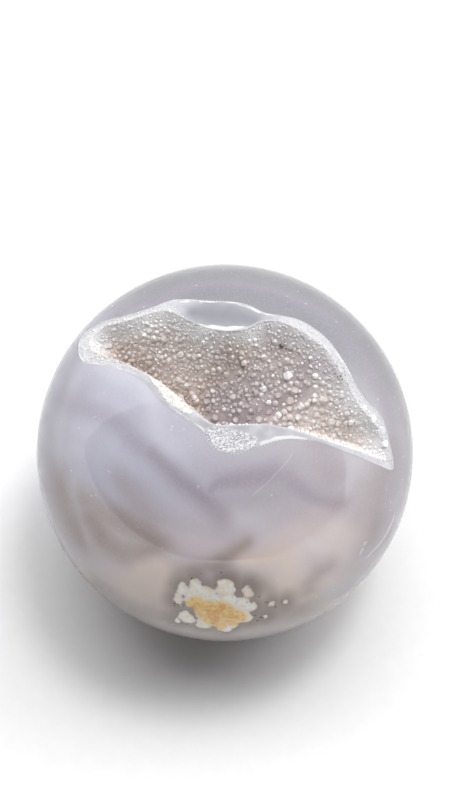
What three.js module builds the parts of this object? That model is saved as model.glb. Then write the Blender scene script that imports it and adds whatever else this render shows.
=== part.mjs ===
// A druzy agate sphere: a polished ball of agate with one open hollow (a vug), lined with a crust of
// quartz whose crystals point into the opening. The stone lies as it comes to rest on a table, with the
// hollow uppermost. Units are millimetres, +Z is up, and the origin is the point the stone rests on.
import * as THREE from "three";
import { ConvexHull } from "three/addons/math/ConvexHull.js";

// The ball
const sphereRadius = 32.5;
const segments = 56; // facets round the ball, and stations round the hollow's rim
const footAngle = 6; // degrees from the south pole to the edge of the small flat the ball rests on
const beltAngle = 84; // degrees from the top down to the first level ring of facets below the hollow
const levelRingStep = 6; // degrees between the level rings
const shoulderRings = 5; // rings that turn the rim's outline into the level circle at beltAngle

// The hollow seen straight down, anticlockwise from its right-hand tip: the rim, where agate meets quartz
// on the polished face, and the lip, where the polished quartz ends and the ground of crystals drops away
const rimOutline = [
  [27.4, -9.3], [26.5, -4.9], [25.2, -2.0], [22.4, -0.4], [18.9, 5.0], [16.6, 8.2], [12.0, 11.2],
  [6.4, 11.6], [3.0, 13.4], [-2.3, 13.9], [-8.6, 15.1], [-12.0, 14.2], [-16.6, 14.0], [-20.6, 14.9],
  [-23.6, 14.5], [-24.4, 12.0], [-23.2, 6.9], [-17.9, 3.3], [-12.6, -0.8], [-10.7, -3.6], [-6.6, -7.2],
  [-3.6, -9.4], [-1.6, -12.1], [0.8, -12.9], [4.1, -12.2], [8.2, -10.6], [13.3, -9.9], [19.7, -10.3],
  [24.4, -10.2],
];
const lipOutline = [
  [26.2, -8.6], [25.3, -4.9], [22.0, -2.3], [18.4, 3.2], [16.0, 6.6], [10.2, 10.0], [6.4, 9.9],
  [3.2, 7.8], [0.6, 7.4], [-2.4, 8.0], [-5.8, 9.9], [-9.6, 13.0], [-16.1, 12.8], [-20.4, 13.3],
  [-22.6, 11.4], [-21.6, 8.2], [-17.4, 4.6], [-12.3, 0.6], [-7.3, -4.1], [-4.9, -6.3], [-2.2, -8.5],
  [1.8, -8.7], [6.8, -8.4], [12.8, -9.0], [18.0, -9.5], [22.8, -9.3],
];
const hollowMiddle = [2.0, -3.8]; // the point that the rim and the lip are seen from
const hollowDepth = 18; // from the ball's face down to the crystals, where no wall is near
// How far in from the lip a wall takes to fall six tenths of the way: a gentle slope at the back and the
// ends, and a steep drop under the front lip
const gentleRun = 8;
const steepRun = 0.6;
const steepSide = { toward: -115, spread: 100 };

// The crust of quartz
const crustThickness = 2.8;
const crustEdgeRun = 0.8; // how far in from the rim the crust takes to gain six tenths of its thickness
const crustGap = 0.3; // between the crust and the agate
const contactRings = 10; // rings of facets between the middle and the rim

// The crystals that cover the hollow's ground side by side
const rimSpacing = 1.15; // from tip to tip at the rim
const floorSpacing = 1.7; // and on the floor
const crystalRise = 0.62; // height of a tip above the ground, in spacings
const crystalLean = 0.35; // how far a crystal may lean each way, as a slope
const bareEdge = 0.7; // width along the lip that is left free of crystals
const clearance = 0.2; // share of the depth that every tip stays below the ball's face
const dartCount = 12000; // tries at finding a free place for a crystal

const radians = THREE.MathUtils.degToRad;
const { lerp, smoothstep, euclideanModulo } = THREE.MathUtils;
const ballCentre = new THREE.Vector3(0, 0, sphereRadius * Math.cos(radians(footAngle)));
const middle = new THREE.Vector2(...hollowMiddle);

function closedCurve(outline) {
  const points = outline.map(([x, y]) => new THREE.Vector3(x, y, 0));
  return new THREE.CatmullRomCurve3(points, true, "centripetal");
}

// Evenly spaced places on an outline, as spokes from the hollow's middle.
function spokesTo(outline, count) {
  const curve = closedCurve(outline);
  const length = curve.getLength() / count; // of the stretch that each spoke stands for
  return curve.getSpacedPoints(count).slice(1).map(({ x, y }) => {
    const spoke = new THREE.Vector2(x, y).sub(middle);
    return { spoke, length, reach: spoke.length(), bearing: spoke.angle() };
  });
}

// The stations: places round the rim, each with its lip as a share of the way from the middle to the rim.
const lipSpokes = spokesTo(lipOutline, 20 * segments);
const stations = spokesTo(rimOutline, segments).map((rim) => {
  const aside = (spoke) => Math.abs(turnBetween(spoke.bearing, rim.bearing));
  const nearest = lipSpokes.reduce((best, spoke) => (aside(spoke) < aside(best) ? spoke : best));
  return { ...rim, lip: nearest.reach / rim.reach };
});
const rimWall = wallAlong(rimOutline);
const lipWall = wallAlong(lipOutline);

// The smallest turn from one bearing to another, in radians.
function turnBetween(from, to) {
  return euclideanModulo(to - from + Math.PI, 2 * Math.PI) - Math.PI;
}

// A broad bump that is 1 round a bearing and falls off sharply at a spread from it, both in degrees.
function bump(bearing, toward, spread) {
  return Math.exp(-((turnBetween(radians(toward), bearing) / radians(spread)) ** 8));
}

// The wall along an outline, as close-set places with the run of the wall below each.
function wallAlong(outline) {
  return spokesTo(outline, 15 * segments).map(({ spoke, length, bearing }) => {
    const steep = Math.min(1, 1.25 * bump(bearing, steepSide.toward, steepSide.spread));
    return { place: spoke.clone().add(middle), length, run: lerp(gentleRun, steepRun, steep) };
  });
}

// How deep the ground lies at a point of the plan. Each stretch of wall holds the ground up by the fourth
// power of its run over its distance; beside a straight wall that comes to the distance over the run.
function fall(point, wall) {
  const hold = wall.reduce((sum, { place, length, run }) => {
    return sum + (length / run) * (run / place.distanceTo(point)) ** 4;
  }, 0);
  const runsAway = ((2 / Math.PI) * hold) ** (-1 / 3);
  return hollowDepth * (1 - Math.exp(-runsAway));
}

// Depth of the face where crust meets agate, which leaves the polished face at the rim itself.
function contactDepth(point) {
  const fromRim = Math.min(...rimWall.map(({ place }) => place.distanceTo(point)));
  return fall(point, rimWall) + crustThickness * (1 - Math.exp(-fromRim / crustEdgeRun));
}

// The point at a depth below the ball's face, under a point of the plan.
function below({ x, y }, depth) {
  const fromCentre = new THREE.Vector3(x, y, Math.sqrt(sphereRadius ** 2 - x * x - y * y));
  return fromCentre.multiplyScalar(1 - depth / sphereRadius).add(ballCentre);
}

// A point of the plan, at a share s of the way from the middle to a station on the rim.
const planPoint = ({ spoke }, s) => middle.clone().addScaledVector(spoke, s);
const onFace = (station, s) => below(planPoint(station, s), 0);
const onContact = (point) => below(point, contactDepth(point));
const onGround = (point) => below(point, fall(point, lipWall));
const shares = (count) => Array.from({ length: count }, (_, k) => (k + 1) / (count + 1));
const crowdTowardRim = (k) => 1 - (1 - k) ** 1.9;

// A closed skin, put together from rings that have one point for each station.
class Skin {
  points = [];
  triangles = [];

  add(points) {
    const first = this.points.length;
    this.points.push(...points);
    return points.map((_, i) => first + i);
  }

  bands(rings) {
    rings.slice(1).forEach((outer, k) => {
      const inner = rings[k];
      inner.forEach((corner, i) => {
        const next = (i + 1) % segments;
        this.triangles.push(corner, outer[i], outer[next], corner, outer[next], inner[next]);
      });
    });
  }

  fan(point, ring) {
    const [tip] = this.add([point]);
    ring.forEach((corner, i) => this.triangles.push(tip, corner, ring[(i + 1) % segments]));
  }

  geometry() {
    return new THREE.BufferGeometry().setFromPoints(this.points).setIndex(this.triangles);
  }
}

// The face where crust meets agate, as rings that end with the rim.
function contactGrid() {
  const inner = shares(contactRings).map(crowdTowardRim);
  const rings = inner.map((s) => stations.map((station) => onContact(planPoint(station, s))));
  return [...rings, stations.map((station) => onFace(station, 1))];
}

// The polished ball, with its hollow open at the rim.
function agateBall() {
  const hollow = contactGrid();
  const rim = hollow.at(-1);
  const rimBearings = rim.map((p) => Math.atan2(p.y, p.x));
  const facet = (2 * Math.PI) / segments;
  const firstFacet = Math.round(rimBearings[0] / facet);
  const levelBearing = (i) => (firstFacet + i) * facet;
  const onBall = (angle, bearing) =>
    new THREE.Vector3(
      Math.sin(angle) * Math.cos(bearing),
      Math.sin(angle) * Math.sin(bearing),
      Math.cos(angle),
    ).multiplyScalar(sphereRadius).add(ballCentre);
  const shoulder = shares(shoulderRings).map((share) =>
    rim.map((p, i) => {
      const rimAngle = Math.acos((p.z - ballCentre.z) / sphereRadius);
      const turn = turnBetween(rimBearings[i], levelBearing(i)) * smoothstep(share, 0, 1);
      return onBall(lerp(rimAngle, radians(beltAngle), share), rimBearings[i] + turn);
    }),
  );
  const levels = [];
  for (let angle = beltAngle; angle <= 180 - footAngle; angle += levelRingStep)
    levels.push(stations.map((_, i) => onBall(radians(angle), levelBearing(i))));
  const skin = new Skin();
  const rings = [...hollow, ...shoulder, ...levels].map((ring) => skin.add(ring));
  skin.fan(onContact(middle), rings[0]);
  skin.bands(rings);
  skin.fan(new THREE.Vector3(0, 0, 0), rings.at(-1).toReversed());
  return skin.geometry();
}

// The same run of random numbers every time.
function repeatable(seed) {
  let state = seed;
  return () => {
    state = (Math.imul(state, 1664525) + 1013904223) >>> 0;
    return state / 2 ** 32;
  };
}

// A plan of the ground with its walls partly laid flat, so that crystals on a steep wall keep some width.
function laidFlat(station, s) {
  const depth = s < station.lip ? fall(planPoint(station, s), lipWall) : 0;
  const climb = Math.max(0, fall(middle, lipWall) - depth);
  const length = station.reach * s + climb / 2;
  return new THREE.Vector2(length, 0).rotateAround(new THREE.Vector2(), station.bearing);
}

// Where the crystals stand: darts thrown at the ground, kept where they are clear of the others.
function crystalPlaces() {
  const random = repeatable(11);
  const places = [];
  for (let dart = 0; dart < dartCount; dart++) {
    const station = stations[Math.floor(random() * segments)];
    const s = station.lip * random();
    const lean = new THREE.Vector3(random() - 0.5, random() - 0.5, random() - 0.5);
    const point = planPoint(station, s);
    const depth = fall(point, lipWall);
    const spacing = lerp(rimSpacing, floorSpacing, depth / hollowDepth);
    const foot = below(point, depth);
    const crowded = (other) => other.foot.distanceTo(foot) < (other.spacing + spacing) / 2;
    if ((station.lip - s) * station.reach < bareEdge || places.some(crowded)) continue;
    places.push({ station, s, depth, spacing, foot, lean });
  }
  return places;
}

// The tip of a crystal: up from its foot, square to the ground but for its lean, and never out of the ball.
function crystalTip({ station, s, depth, spacing, foot, lean }) {
  const outward = foot.clone().sub(ballCentre).normalize();
  const nearby = s + 0.02;
  const upSlope = onGround(planPoint(station, nearby)).sub(foot);
  const square = upSlope.clone().cross(outward).cross(upSlope).normalize();
  if (square.dot(outward) < 0) square.negate();
  const axis = square.addScaledVector(lean, 2 * crystalLean).normalize();
  const steepest = 0.3; // of the axis's climb toward the face, so that the room below stays finite
  const room = ((1 - clearance) * depth) / Math.max(steepest, axis.dot(outward));
  return foot.clone().addScaledVector(axis, Math.min(crystalRise * spacing, room));
}

// Triangles between points scattered on a plane, with no point inside the circle round any of them: they
// are the underside of the hull round the same points lifted onto a bowl.
function scatteredTriangles(points) {
  const lifted = points.map(({ x, y }) => new THREE.Vector3(x, y, x * x + y * y));
  const number = new Map(lifted.map((point, i) => [point, i]));
  const underside = new ConvexHull().setFromPoints(lifted).faces.filter((face) => face.normal.z < 0);
  return underside.map((face) => [0, 1, 2].map((i) => number.get(face.getEdge(-i).head().point)));
}

// The ground covered with crystals, from the ring of points at the lip: neighbouring crystals meet in a
// valley point in the middle of each triangle of feet.
function addCrystals(skin, lip) {
  const places = crystalPlaces();
  const feet = [...stations.map((station) => ({ station, s: station.lip })), ...places];
  const corners = [...lip, ...skin.add(places.map(crystalTip))];
  const plan = feet.map(({ station, s }) => planPoint(station, s));
  const isPocket = ([a, b, c]) => Math.max(a, b, c) < segments && (b - a) * (c - b) * (a - c) > 0;
  const triangles = scatteredTriangles(feet.map(({ station, s }) => laidFlat(station, s)));
  const valleyOf = new Map();
  for (const [a, b, c] of triangles.filter((triangle) => !isPocket(triangle))) {
    const centre = plan[a].clone().add(plan[b]).add(plan[c]).divideScalar(3);
    const [valley] = skin.add([onGround(centre)]);
    for (const [from, to] of [[a, b], [b, c], [c, a]]) valleyOf.set(`${from} ${to}`, valley);
  }
  for (const [edge, valley] of valleyOf) {
    const [from, to] = edge.split(" ").map(Number);
    const across = valleyOf.get(`${to} ${from}`) ?? corners[to];
    skin.triangles.push(corners[from], across, valley);
  }
}

// The back of the crust: the agate's own facets turned over and lifted square off it, with their edge still
// on the polished face.
function addBack(skin) {
  const facing = new Skin();
  const rings = contactGrid().map((ring) => facing.add(ring));
  facing.bands(rings);
  facing.fan(onContact(middle), rings[0]);
  const geometry = facing.geometry();
  geometry.computeVertexNormals();
  const lifted = facing.points.map((point, i) => {
    const square = new THREE.Vector3().fromBufferAttribute(geometry.attributes.normal, i);
    return point.addScaledVector(square, crustGap);
  });
  for (const i of rings.at(-1)) lifted[i].sub(ballCentre).setLength(sphereRadius).add(ballCentre);
  const number = skin.add(lifted);
  skin.triangles.push(...facing.triangles.map((i) => number[i]).reverse());
  return rings.at(-1).map((i) => number[i]);
}

// The crust: its polished edge, the crystals inside that, and its back against the agate.
function druzyCrust() {
  const skin = new Skin();
  const lip = skin.add(stations.map((station) => onFace(station, station.lip)));
  addCrystals(skin, lip);
  skin.bands([lip, addBack(skin)]);
  return skin.geometry();
}

const agate = new THREE.MeshStandardMaterial({ color: 0xbab8c4, roughness: 0.08, metalness: 0 });
const quartz = new THREE.MeshStandardMaterial({ color: 0xc9c2bf, roughness: 0.25, metalness: 0 });
quartz.flatShading = true;

const ball = new THREE.Mesh(agateBall(), agate);
ball.name = "agate_sphere";
const crust = new THREE.Mesh(druzyCrust(), quartz);
crust.name = "druzy_crust";

const stone = new THREE.Group();
stone.add(ball, crust);
export default stone;
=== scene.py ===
from math import atan, cos, pi, radians, sin, sqrt

import bpy
import numpy as np
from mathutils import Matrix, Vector


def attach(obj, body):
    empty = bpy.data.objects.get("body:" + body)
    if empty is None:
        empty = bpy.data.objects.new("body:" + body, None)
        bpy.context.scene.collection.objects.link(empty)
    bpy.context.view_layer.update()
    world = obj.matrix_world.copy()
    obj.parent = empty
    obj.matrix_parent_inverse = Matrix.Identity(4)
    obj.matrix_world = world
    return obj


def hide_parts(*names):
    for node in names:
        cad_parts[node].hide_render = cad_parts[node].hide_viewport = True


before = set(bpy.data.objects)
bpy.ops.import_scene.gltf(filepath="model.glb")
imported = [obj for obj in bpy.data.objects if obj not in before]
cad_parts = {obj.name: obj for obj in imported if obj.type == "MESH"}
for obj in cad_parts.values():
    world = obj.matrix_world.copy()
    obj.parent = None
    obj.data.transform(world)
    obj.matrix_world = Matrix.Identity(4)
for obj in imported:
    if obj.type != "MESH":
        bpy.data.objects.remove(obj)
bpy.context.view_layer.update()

# The view. The stone is seen from in front and well above, so that the eye looks down into its hollow.
# The camera aims a little high, which leaves the ball below the middle of the picture.
MM = 0.001
BALL_RADIUS = 32.5 * MM
FOOT_ANGLE = radians(6)  # from the south pole to the edge of the small flat the ball rests on
BALL_MIDDLE = np.array([0, 0, BALL_RADIUS * cos(FOOT_ANGLE)])
VIEW_HEIGHT = radians(67)
VIEW_DISTANCE = 9 * BALL_RADIUS
PICTURE_HEIGHT = 800  # pixels, as the two below
BALL_ON_PICTURE = 188.6  # radius of the ball's outline
BALL_DROP = 52  # from the picture's middle down to the ball's

toward_camera = np.array([0, -cos(VIEW_HEIGHT), sin(VIEW_HEIGHT)])
camera_up = np.array([0, sin(VIEW_HEIGHT), cos(VIEW_HEIGHT)])
pixels_per_slope = BALL_ON_PICTURE * sqrt((VIEW_DISTANCE / BALL_RADIUS) ** 2 - 1)
camera = bpy.data.objects.new("camera", bpy.data.cameras.new("camera"))
camera.data.lens = camera.data.sensor_width * pixels_per_slope / PICTURE_HEIGHT
camera.data.clip_start = 10 * MM
camera.location = BALL_MIDDLE + VIEW_DISTANCE * toward_camera
camera.rotation_euler = (pi / 2 - VIEW_HEIGHT + atan(BALL_DROP / pixels_per_slope), 0, 0)
bpy.context.scene.collection.objects.link(camera)
bpy.context.scene.camera = camera

# The table and the light. A pale sheet lies under the stone and a white light tent stands round it, open
# toward the camera: the dark opening is what the polish mirrors as one big duller patch. A bright panel in
# the tent's roof and a small lamp light the hollow, which is where the camera would see both mirrored.
FLOOR_WIDTH = 3.0
FRONT_LIGHT = 1.85
BACK_LIGHT = 0.75
OPENING_LIGHT = 0.0
ROOF_LIGHT = 3.6
OPENING_MIDDLE = (-0.065, -0.14)  # on the ball as the camera sees it, in ball radii, right and up
OPENING_REACH = (0.68, 0.41)
OPENING_EDGE = 0.02  # how soft its outline is
ROOF_MIDDLE = (0.12, 0.32)
ROOF_REACH = (0.42, 0.16)
ROOF_EDGE = 0.4
OUTLINE_POWER = 2.6  # 2 would make both outlines ellipses, and more makes them squarer
LAMP_ASIDE = (0.1, 0.27)  # where the ball would mirror the lamp
LAMP_DISTANCE = 1.4
LAMP_RADIUS = 0.155
LAMP_WATTS = 4.8


def linear(red, green, blue):
    """A colour as the eye reads it, each part 0 to 255, in the linear light that shaders count in."""
    seen = np.array([red, green, blue]) / 255
    return (*np.where(seen <= 0.04045, seen / 12.92, ((seen + 0.055) / 1.055) ** 2.4), 1.0)


class Nodes:
    """Short ways to add nodes to a node tree; an input is a value or another node's output."""

    def __init__(self, tree):
        self.tree = tree

    def feed(self, node, inputs):
        for name, value in dict(inputs).items():
            if isinstance(value, bpy.types.NodeSocket):
                self.tree.links.new(value, node.inputs[name])
            else:
                node.inputs[name].default_value = value
        return node

    def surface(self, inputs):
        """Feeds the shader that a new material starts with."""
        return self.feed(self.tree.nodes["Principled BSDF"], inputs)

    def add(self, kind, inputs=(), **settings):
        made = self.tree.nodes.new(kind)
        for name, value in settings.items():
            setattr(made, name, value)
        return self.feed(made, inputs)

    def math(self, operation, *values):
        return self.add("ShaderNodeMath", enumerate(values), operation=operation).outputs[0]

    def times(self, first, second):
        return self.math("MULTIPLY", first, second)

    def vector(self, operation, *values):
        made = self.add("ShaderNodeVectorMath", enumerate(values), operation=operation)
        return made.outputs["Value" if operation in ("DOT_PRODUCT", "DISTANCE") else "Vector"]

    def span(self, value, low, high, to_low=0.0, to_high=1.0):
        """A value carried smoothly from one span to another."""
        inputs = {"Value": value, "From Min": low, "From Max": high, "To Min": to_low, "To Max": to_high}
        return self.add("ShaderNodeMapRange", inputs, interpolation_type="SMOOTHSTEP").outputs[0]

    def mix(self, share, first, second, blend_type="MIX"):
        inputs = {0: share, 6: first, 7: second}
        return self.add("ShaderNodeMix", inputs, data_type="RGBA", blend_type=blend_type).outputs[2]

    def glaze(self, colour, *tints):
        """A colour with tints laid over it in turn; a tint is its share and its red, green and blue."""
        for share, *tint in tints:
            colour = self.mix(share, colour, linear(*tint))
        return colour

    def noise(self, place, scale, detail=2.0, roughness=0.5):
        inputs = {"Vector": place, "Scale": scale, "Detail": detail, "Roughness": roughness}
        return self.add("ShaderNodeTexNoise", inputs).outputs["Fac"]

    def mark(self, name):
        """A mask that the mesh carries as an attribute."""
        return self.add("ShaderNodeAttribute", attribute_name=name).outputs["Fac"]


def new_material(name):
    material = bpy.data.materials.new(name)
    material.use_nodes = True
    return material, Nodes(material.node_tree)


def light_tent():
    """The world: white all round, brighter in front, with the opening and the roof's panel, whose rounded
    outlines are given where the ball mirrors them."""
    world = bpy.data.worlds.new("light tent")
    world.use_nodes = True
    tree = Nodes(world.node_tree)
    direction = tree.add("ShaderNodeTexCoord").outputs["Generated"]
    halfway = tree.vector("NORMALIZE", tree.vector("ADD", direction, tuple(toward_camera)))

    def inside(middles, reaches, edge):
        parts = []
        for axis, middle, reach in zip(((1, 0, 0), tuple(camera_up)), middles, reaches):
            aside = tree.math("SUBTRACT", tree.vector("DOT_PRODUCT", halfway, axis), middle)
            share = tree.math("ABSOLUTE", tree.math("DIVIDE", aside, reach))
            parts.append(tree.math("POWER", share, OUTLINE_POWER))
        return tree.span(tree.math("ADD", *parts), 1 + edge, 1 - edge)

    toward_front = tree.vector("DOT_PRODUCT", direction, (0, -1, 0))
    light = tree.span(toward_front, -0.8, 0.8, BACK_LIGHT, FRONT_LIGHT)
    opening = inside(OPENING_MIDDLE, OPENING_REACH, OPENING_EDGE)
    roof = inside(ROOF_MIDDLE, ROOF_REACH, ROOF_EDGE)
    colour = tree.mix(opening, light, (OPENING_LIGHT,) * 3 + (1,))
    colour = tree.mix(roof, colour, (ROOF_LIGHT,) * 3 + (1,))
    world.node_tree.links.new(colour, world.node_tree.nodes["Background"].inputs["Color"])
    return world


def area_lamp():
    """A round lamp above the hollow, turned to the ball's middle."""
    right, up = LAMP_ASIDE
    facing = sqrt(1 - right**2 - up**2)
    halfway = right * np.array([1, 0, 0]) + up * camera_up + facing * toward_camera
    direction = 2 * facing * halfway - toward_camera
    lamp = bpy.data.objects.new("lamp", bpy.data.lights.new("lamp", "AREA"))
    lamp.data.shape = "DISK"
    lamp.data.size = 2 * LAMP_RADIUS
    lamp.data.energy = LAMP_WATTS
    lamp.location = BALL_MIDDLE + LAMP_DISTANCE * direction
    lamp.rotation_euler = Vector(direction).to_track_quat("Z", "Y").to_euler()
    bpy.context.scene.collection.objects.link(lamp)


def pale_floor():
    """A flat square at the height of the ball's foot, matt and nearly white."""
    half = FLOOR_WIDTH / 2
    corners = [(-half, -half, 0), (half, -half, 0), (half, half, 0), (-half, half, 0)]
    mesh = bpy.data.meshes.new("floor")
    mesh.from_pydata(corners, [], [(0, 1, 2, 3)])
    floor = bpy.data.objects.new("floor", mesh)
    material, tree = new_material("pale sheet")
    grain = tree.noise(tree.add("ShaderNodeTexCoord").outputs["Object"], 400.0)
    colour = tree.mix(grain, linear(242, 242, 243), linear(247, 247, 248))
    tree.surface({"Base Color": colour, "Roughness": 0.9, "Specular IOR Level": 0.2})
    mesh.materials.append(material)
    bpy.context.scene.collection.objects.link(floor)


bpy.context.scene.world = light_tent()
bpy.context.scene.view_settings.view_transform = "Standard"
area_lamp()
pale_floor()

# The agate. One ball of translucent banded agate, ground and polished to a mirror, and cut so that it
# opened a hollow in the stone. The hollow's wall, under the crust of quartz, belongs to it too.
# Places on the ball are given as a bearing and an angle down from the top, both in degrees.
RIM_OUTLINE = [  # where agate meets quartz on the polished face, in millimetres, seen straight down
    (27.4, -9.3), (26.5, -4.9), (25.2, -2.0), (22.4, -0.4), (18.9, 5.0), (16.6, 8.2), (12.0, 11.2),
    (6.4, 11.6), (3.0, 13.4), (-2.3, 13.9), (-8.6, 15.1), (-12.0, 14.2), (-16.6, 14.0), (-20.6, 14.9),
    (-23.6, 14.5), (-24.4, 12.0), (-23.2, 6.9), (-17.9, 3.3), (-12.6, -0.8), (-10.7, -3.6), (-6.6, -7.2),
    (-3.6, -9.4), (-1.6, -12.1), (0.8, -12.9), (4.1, -12.2), (8.2, -10.6), (13.3, -9.9), (19.7, -10.3),
    (24.4, -10.2),
]
LIP_OUTLINE = [  # where the polished quartz ends and the ground of crystals drops away
    (26.2, -8.6), (25.3, -4.9), (22.0, -2.3), (18.4, 3.2), (16.0, 6.6), (10.2, 10.0), (6.4, 9.9),
    (3.2, 7.8), (0.6, 7.4), (-2.4, 8.0), (-5.8, 9.9), (-9.6, 13.0), (-16.1, 12.8), (-20.4, 13.3),
    (-22.6, 11.4), (-21.6, 8.2), (-17.4, 4.6), (-12.3, 0.6), (-7.3, -4.1), (-4.9, -6.3), (-2.2, -8.5),
    (1.8, -8.7), (6.8, -8.4), (12.8, -9.0), (18.0, -9.5), (22.8, -9.3),
]
HOLLOW_MIDDLE = np.array([2.0, -3.8]) * MM
HOLLOW_DEPTH = 18 * MM
GENTLE_RUN = 8 * MM  # how far in from the lip a wall takes to fall six tenths of the way
STEEP_RUN = 0.6 * MM
STEEP_TOWARD = radians(-115)
STEEP_SPREAD = radians(100)
STEEP_PEAK = 1.25  # of the bell curve, before it is cut flat at 1
CRUST_THICKNESS = 2.8 * MM
CRUST_EDGE_RUN = 0.8 * MM
WALL_PLACES = 840
STATIONS = 480  # places round the ball
HOLLOW_RINGS = 30
HOLLOW_CROWDING = 1.9  # the more above 1, the closer together the rings stand toward the rim
FACE_RINGS = 150
EVEN_SHARE = 0.5  # of the way to the foot, after which the stations stand evenly round the ball


def closed_curve(outline, count):
    """Evenly spaced places along the closed centripetal spline through an outline's points: between two
    points it is the cubic whose slopes weigh each gap by the root of its length."""
    before, here, after, beyond = (np.roll(np.array(outline) * MM, k, axis=0) for k in (1, 0, -1, -2))
    gaps = [
        np.linalg.norm(b - a, axis=1, keepdims=True) ** 0.5
        for a, b in ((before, here), (here, after), (after, beyond))
    ]
    leave = (here - before) / gaps[0] - (after - before) / (gaps[0] + gaps[1]) + (after - here) / gaps[1]
    arrive = (after - here) / gaps[1] - (beyond - here) / (gaps[1] + gaps[2]) + (beyond - after) / gaps[2]
    leave, arrive = leave * gaps[1], arrive * gaps[1]
    t = np.linspace(0, 1, 200, endpoint=False)[:, None, None]
    curve = here + leave * t + (3 * (after - here) - 2 * leave - arrive) * t**2
    curve = curve + (2 * (here - after) + leave + arrive) * t**3
    curve = curve.transpose(1, 0, 2).reshape(-1, 2)
    closed = np.vstack([curve, curve[:1]])
    along = np.concatenate([[0], np.cumsum(np.linalg.norm(np.diff(closed, axis=0), axis=1))])
    places = np.arange(count) * along[-1] / count
    return np.stack([np.interp(places, along, closed[:, k]) for k in (0, 1)], axis=1), along[-1]


def turn_between(start, end):
    """The smallest turn from one bearing to another."""
    return (end - start + pi) % (2 * pi) - pi


def bearing_of(points):
    """Bearings of places on the plan, seen from the hollow's middle."""
    away = points - HOLLOW_MIDDLE
    return np.arctan2(away[..., 1], away[..., 0])


def wall_along(outline):
    """Places along a wall's top with the length that each stands for and the wall's run below it: the run
    goes from gentle to steep by the falling exponential of the eighth power of how far the bearing lies
    from the steepest, cut flat at its top."""
    places, around = closed_curve(outline, WALL_PLACES)
    aside = turn_between(STEEP_TOWARD, bearing_of(places)) / STEEP_SPREAD
    steep = np.minimum(1, STEEP_PEAK * np.exp(-(aside**8)))
    return places, around / WALL_PLACES, GENTLE_RUN + (STEEP_RUN - GENTLE_RUN) * steep


RIM_WALL = wall_along(RIM_OUTLINE)
LIP_WALL = wall_along(LIP_OUTLINE)


def in_parts(work, points, size=3000):
    """Runs an array function on a few thousand points at a time, to spare memory."""
    return np.concatenate([work(points[k : k + size]) for k in range(0, len(points), size)])


def distance_to(points, places):
    """Distance from each point to the nearest of some places."""
    return in_parts(lambda part: np.sqrt(((part[:, None] - places) ** 2).sum(axis=2).min(axis=1)), points)


def fall(points, wall):
    """Depth of the ground at places on the plan. Every stretch of wall holds it up by its length and the
    cube of its run over the fourth power of its distance. The inverse cube root of the sum is how many runs
    away the wall lies, and the depth nears its limit as a falling exponential of that."""
    places, length, run = wall

    def hold(part):
        squared = ((part[:, None] - places) ** 2).sum(axis=2) + 1e-16
        return (length * run**3 / squared**2).sum(axis=1)

    runs_away = (2 / pi * in_parts(hold, points)) ** (-1 / 3)
    return HOLLOW_DEPTH * (1 - np.exp(-runs_away))


def contact_depth(points):
    """Depth of the face where crust meets agate: the fall from the rim and the crust's thickness."""
    edge = 1 - np.exp(-distance_to(points, RIM_WALL[0]) / CRUST_EDGE_RUN)
    return fall(points, RIM_WALL) + CRUST_THICKNESS * edge


def below(points, depth):
    """The point at a depth under the ball's face, straight toward the ball's middle, below a place on the
    plan."""
    height = np.sqrt(BALL_RADIUS**2 - (points**2).sum(axis=-1))
    on_face = np.concatenate([points, height[..., None]], axis=-1)
    return on_face * (1 - depth / BALL_RADIUS)[..., None] + BALL_MIDDLE


def rings_between(start, end, shares):
    """Rings of places at some shares of the way from one ring to another."""
    return start + (end - start) * np.asarray(shares)[:, None, None]


def on_rings(work, rings):
    """Runs a function of points on a grid of rings."""
    return work(rings.reshape(-1, rings.shape[-1])).reshape(rings.shape[:2])


def directions(bearing, down):
    """Unit vectors from the ball's middle, for bearings and angles down from the top, in radians."""
    return np.stack([np.sin(down) * np.cos(bearing), np.sin(down) * np.sin(bearing), np.cos(down)], axis=-1)


def mesh_piece(name, points, *faces):
    """An object whose mesh has these points and faces; each array of faces has one row for each face."""
    mesh = bpy.data.meshes.new(name)
    mesh.vertices.add(len(points))
    mesh.vertices.foreach_set("co", np.float32(points).ravel())
    corners = np.concatenate([rows.ravel() for rows in faces])
    sizes = np.concatenate([np.full(len(rows), rows.shape[1]) for rows in faces])
    mesh.loops.add(len(corners))
    mesh.loops.foreach_set("vertex_index", corners.astype(np.int32))
    mesh.polygons.add(len(sizes))
    mesh.polygons.foreach_set("loop_start", np.int32(np.cumsum(sizes) - sizes))
    mesh.update(calc_edges=True)
    piece = bpy.data.objects.new(name, mesh)
    bpy.context.scene.collection.objects.link(piece)
    return piece


def skin(name, rings, first_pole, last_pole):
    """A closed mesh through rings that have a place for each station, drawn in to a point at both ends."""
    count, around = rings.shape[:2]
    points = np.concatenate([rings.reshape(-1, 3), [first_pole, last_pole]])
    ring = np.arange(count - 1)[:, None] * around
    here = np.arange(around)
    after = (here + 1) % around
    quads = np.stack([ring + here, ring + around + here, ring + around + after, ring + after], axis=-1)
    first = np.stack([np.full(around, count * around), here, after], axis=-1)
    last = np.stack([np.full(around, count * around + 1), after, here], axis=-1)
    last[:, 1:] += (count - 1) * around
    piece = mesh_piece(name, points, quads.reshape(-1, 4), first, last)
    piece.data.shade_smooth()
    piece.data.set_sharp_from_angle(angle=radians(35))
    return piece, points


def carry(piece, **marks):
    """Stores values on a mesh's points, one attribute for each name."""
    for name, values in marks.items():
        piece.data.attributes.new(name, "FLOAT", "POINT").data.foreach_set("value", np.float32(values))


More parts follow.
